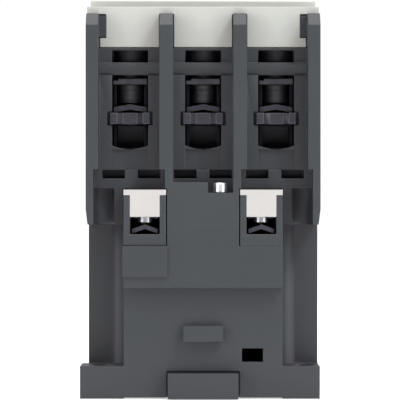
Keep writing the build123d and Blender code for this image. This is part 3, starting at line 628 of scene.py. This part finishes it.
# Contact tips: silver alloy pads, brazed onto the ends of the terminal bars.
# They are paler and smoother than the metal round them.
silver = rolled_metal(
    "silver_tip_brazed",
    colour="#cfccc6",
    shade="#bdbab4",
    roughness=0.3,
    line=0.2 * mm,
    relief=0.004 * mm,
)
coat(nodes["fixed_contact_tips"], silver, edge=0.15 * mm)


# Magnet: silicon steel laminations about half a millimetre thick, riveted into two stacks.
# The edges of the sheets show as fine lines across the width.
across_x = (1, 40, 40)
laminations = rolled_metal(
    "silicon_steel_laminated",
    colour="#85888c",
    shade="#5c5f63",
    roughness=0.42,
    line=0.5 * mm,
    relief=0.08 * mm,
    stretch=across_x,
)
for node_name in ("fixed_core", "armature"):
    coat(nodes[node_name], laminations, edge=0.12 * mm)


# Armature pin: a steel pin, pushed through the armature and the foot of the carrier.
# Grinding leaves it bright and smooth.
pin_steel = rolled_metal(
    "steel_ground_pin",
    colour="#b5b6b8",
    shade="#a2a3a5",
    roughness=0.22,
    line=0.2 * mm,
    relief=0.003 * mm,
)
coat(nodes["armature_pin"], pin_steel, edge=0.15 * mm)


# Arc plates: plain sheet steel, stamped, and slid into slots of the arc chambers.
# The sheet is left as it was rolled, a half-bright grey.
sheet_steel = rolled_metal(
    "sheet_steel_plain",
    colour="#8d8f92",
    shade="#7b7d80",
    roughness=0.4,
    line=0.3 * mm,
    relief=0.008 * mm,
)
coat(nodes["arc_plates"], sheet_steel, edge=0.08 * mm)


# Clamp screws: cold-headed steel, dark passivated like the cages, six alike. A chamfered
# cylindrical head with a slot and a cross, on a shank with shallow rings where the thread is.
# The sizes of all turned pieces are in millimetres.
clamp_head_height = 3.6
clamp_shank = 2.45               # radius
clamp_tip = 0.3
clamp_rim = 0.4                  # chamfer on top of the head
clamp_foot = 0.2                 # chamfer under the head, and reach of the fillet
clamp_fillet = 0.15
first_ring = 0.6
ring_pitch = 1.0
ring_profile = ((0, 0), (0.2, 0.04), (0.5, 0.04), (0.7, 0))     # rise and depth
plain_shank = 1.0                # length left without rings
slot_overrun = 1                 # by which the slot's cutter is longer than the head
recess_clearance = 0.05          # by which the cutters stand out of the head
cross_width = 1.5                # width of the cross as a share of the slot's
cross_depth = 1.4                # its depth as a share of the slot's
cross_bottom = 0.55              # share of its size that the cross keeps at the bottom


def turned(outline, steps=64):
    """A mesh turned about the upright axis, from (radius, height) points."""
    shape = bmesh.new()
    rings = []
    for radius, height in outline:
        if radius == 0:
            rings.append([shape.verts.new((0, 0, height * mm))])
            continue
        turns = [2 * math.pi * step / steps for step in range(steps)]
        rings.append([
            shape.verts.new((radius * mm * math.cos(a), radius * mm * math.sin(a), height * mm))
            for a in turns
        ])
    for lower, upper in zip(rings, rings[1:]):
        for step in range(steps):
            after = (step + 1) % steps
            corners = [lower[step % len(lower)], lower[after % len(lower)]]
            corners += [upper[after % len(upper)], upper[step % len(upper)]]
            shape.faces.new(list(dict.fromkeys(corners)))
    bmesh.ops.recalc_face_normals(shape, faces=shape.faces)
    return shape


def tapered_bar(length, width, bottom_share, bottom, top, degrees=0):
    """A bar for a driver recess, narrower at the bottom, turned about the upright axis."""
    shape = bmesh.new()
    bmesh.ops.create_cube(shape, size=1)
    for corner in shape.verts:
        share = bottom_share if corner.co.z < 0 else 1
        height = bottom if corner.co.z < 0 else top
        corner.co.x *= length * share * mm
        corner.co.y *= width * share * mm
        corner.co.z = height * mm
    turn = Matrix.Rotation(math.radians(degrees), 3, "Z")
    bmesh.ops.rotate(shape, matrix=turn, verts=shape.verts)
    return shape


def headed_screw(name, body, outline, material, place, slot_width, cross, depth):
    """A turned screw with a slot and a cross pressed into its head, standing at a place."""
    screw = solid_piece(name, turned(outline), material)
    head_radius = max(radius for radius, height in outline)
    head_top = outline[-1][1]
    above = head_top + recess_clearance
    slot_length = 2 * head_radius + slot_overrun
    slot = tapered_bar(slot_length, slot_width, 1.0, head_top - depth, above)
    arm_bottom = head_top - cross_depth * depth
    arms = [
        tapered_bar(cross, cross_width * slot_width, cross_bottom, arm_bottom, above, degrees)
        for degrees in (0, 90)
    ]
    carve(screw, [slot, *arms])
    screw.data.transform(Matrix.Translation(place))
    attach(screw, body)
    return screw


def bottom_middle(low, high):
    """The middle of the bottom of a box."""
    return ((low.x + high.x) / 2, (low.y + high.y) / 2, low.z)


low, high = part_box("clamp_screw_1")
clamp_top = (high.z - low.z) / mm
clamp_head = (high.x - low.x) / 2 / mm
clamp_neck = clamp_top - clamp_head_height
clamp_outline = [(0, 0), (clamp_shank - clamp_tip, 0), (clamp_shank, clamp_tip)]
for ring in range(int((clamp_neck - plain_shank) / ring_pitch)):
    start = first_ring + ring * ring_pitch
    clamp_outline += [(clamp_shank - inwards, start + rise) for rise, inwards in ring_profile]
clamp_outline += [
    (clamp_shank, clamp_neck - clamp_fillet),
    (clamp_shank + clamp_foot, clamp_neck),
    (clamp_head - clamp_foot, clamp_neck),
    (clamp_head, clamp_neck + clamp_foot),
    (clamp_head, clamp_top - clamp_rim),
    (clamp_head - clamp_rim, clamp_top),
    (0, clamp_top),
]
# Headed steel under the dark plate is duller than the strip of the cages.
screw_steel = rolled_metal(
    "steel_dark_passivated_headed",
    colour="#646367",
    shade="#57565a",
    roughness=0.6,
    line=0.3 * mm,
    relief=0.004 * mm,
    # share of its tone kept in the painted shade of recesses
    hollow_painted_shade=0.6,
)
for number in range(1, 7):
    node_name = f"clamp_screw_{number}"
    screw = headed_screw(
        f"headed_clamp_screw_{number}",
        node_name,
        clamp_outline,
        screw_steel,
        bottom_middle(*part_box(node_name)),
        slot_width=1.0,
        cross=4.2,
        depth=1.2,
    )
    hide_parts(node_name)


# Coil terminal screws: smaller, of the same kind, cold headed and zinc plated.
# The zinc is bright and a little satin, where the heading tool and the rolls touched it.
coil_head_height = 1.6
coil_shank = 1.45
coil_tip = 0.35
coil_rim = 0.3
coil_foot = 0.1
coil_fillet = 0.15
satin_zinc = rolled_metal(
    "steel_zinc_satin",
    colour="#b9babd",
    shade="#a9aaae",
    roughness=0.34,
    line=0.25 * mm,
    relief=0.002 * mm,
    hollow_painted_shade=1.0,
)
for side in ("left", "right"):
    node_name = f"coil_screw_{side}"
    low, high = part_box(node_name)
    coil_top = (high.z - low.z) / mm
    coil_head = (high.x - low.x) / 2 / mm
    coil_neck = coil_top - coil_head_height
    coil_outline = [
        (0, 0),
        (coil_shank - coil_tip, 0),
        (coil_shank, coil_tip),
        (coil_shank, coil_neck - coil_foot),
        (coil_shank + coil_fillet, coil_neck),
        (coil_head - coil_foot, coil_neck),
        (coil_head, coil_neck + coil_fillet),
        (coil_head, coil_top - coil_rim),
        (coil_head - coil_rim, coil_top),
        (0, coil_top),
    ]
    screw = headed_screw(
        f"headed_coil_screw_{side}",
        node_name,
        coil_outline,
        satin_zinc,
        bottom_middle(low, high),
        slot_width=0.6,
        cross=2.6,
        depth=0.9,
    )
    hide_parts(node_name)


# Joining screws: two long steel screws that hold the housings together, zinc plated.
# Only their small cylindrical heads show, in a window at each end, and the plate is bright.
joining_head_height = 1.85
joining_head = 1.4
joining_shank = 0.95
joining_tip, joining_tip_height = 0.3, 0.4
joining_rim = 0.15
joining_foot = 0.1
bright_zinc = rolled_metal(
    "steel_zinc_bright",
    colour="#f0f0f2",
    shade="#e4e4e7",
    roughness=0.42,
    line=0.25 * mm,
    relief=0.002 * mm,
    hollow_painted_shade=1.0,
)
low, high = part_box("housing_screws")
joining_top = (high.z - low.z) / mm
joining_neck = joining_top - joining_head_height
joining_outline = [
    (0, 0),
    (joining_shank - joining_tip, 0),
    (joining_shank, joining_tip_height),
    (joining_shank, joining_neck),
    (joining_head - joining_foot, joining_neck),
    (joining_head, joining_neck + joining_foot),
    (joining_head, joining_top - joining_rim),
    (joining_head - joining_rim, joining_top),
    (0, joining_top),
]
for side, x, y in (
    ("front", high.x - joining_head * mm, low.y + joining_head * mm),
    ("back", low.x + joining_head * mm, high.y - joining_head * mm),
):
    screw = headed_screw(
        f"headed_joining_screw_{side}",
        "frame",
        joining_outline,
        bright_zinc,
        (x, y, low.z),
        slot_width=0.4,
        cross=1.6,
        depth=0.7,
    )
    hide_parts("housing_screws")


# Springs: drawn steel wire, coiled cold, smooth and glossy, with the end turns closed.
# Three press the moving contacts down, two lift the carrier, and one returns the rail clip.
wire_radius = 0.28 * mm
end_closing = 0.11               # how far the first and the last turn are laid flat
wire_smooth = math.radians(60)
spring_steel = rolled_metal(
    "spring_steel_drawn",
    colour="#9b9da0",
    shade="#8a8c8f",
    roughness=0.28,
    line=0.2 * mm,
    relief=0.003 * mm,
)


def coiled_wire(name, low, high, along, turns=6, facets=10, steps=36):
    """A compression spring that fills the box low to high, along one axis, with closed ends."""
    shape = bmesh.new()
    across = [axis for axis in range(3) if axis != along]
    middle = (low + high) / 2
    radius = min(high[axis] - low[axis] for axis in across) / 2 - wire_radius
    climb = high[along] - low[along] - 2 * wire_radius
    rise = Vector((0, 0, 0))
    rise[along] = 1
    count = turns * steps
    rings = []
    for index in range(count + 1):
        share = index / count
        eased = share - math.sin(2 * math.pi * share) * end_closing
        angle = 2 * math.pi * turns * share
        spoke = Vector((0, 0, 0))
        spoke[across[0]] = math.cos(angle)
        spoke[across[1]] = math.sin(angle)
        centre = middle.copy()
        centre[along] = low[along] + wire_radius + climb * eased
        ring = []
        for facet in range(facets):
            swing = 2 * math.pi * facet / facets
            reach = spoke * (radius + wire_radius * math.cos(swing))
            ring.append(shape.verts.new(centre + reach + rise * wire_radius * math.sin(swing)))
        rings.append(ring)
    for first, second in zip(rings, rings[1:]):
        for facet in range(facets):
            after = (facet + 1) % facets
            shape.faces.new((first[facet], first[after], second[after], second[facet]))
    shape.faces.new(rings[0])
    shape.faces.new(reversed(rings[-1]))
    bmesh.ops.recalc_face_normals(shape, faces=shape.faces)
    return solid_piece(name, shape, spring_steel, wire_smooth)


for number in (1, 2, 3):
    low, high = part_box(f"contact_spring_{number}")
    spring = coiled_wire(f"coiled_contact_spring_{number}", low, high, along=2)
    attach(spring, "carrier")
    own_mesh(spring)
    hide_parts(f"contact_spring_{number}")

low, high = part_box("return_springs")
spring_width = high.y - low.y
for side, left in (("left", low.x), ("right", high.x - spring_width)):
    near = Vector((left, low.y, low.z))
    far = Vector((left + spring_width, high.y, high.z))
    spring = coiled_wire(f"coiled_return_spring_{side}", near, far, along=2)
    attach(spring, "frame")
    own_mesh(spring)
    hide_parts("return_springs")

low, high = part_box("rail_clip_spring")
spring = coiled_wire("coiled_rail_clip_spring", low, high, along=1, turns=8)
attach(spring, "frame")
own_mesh(spring)
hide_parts("rail_clip_spring")
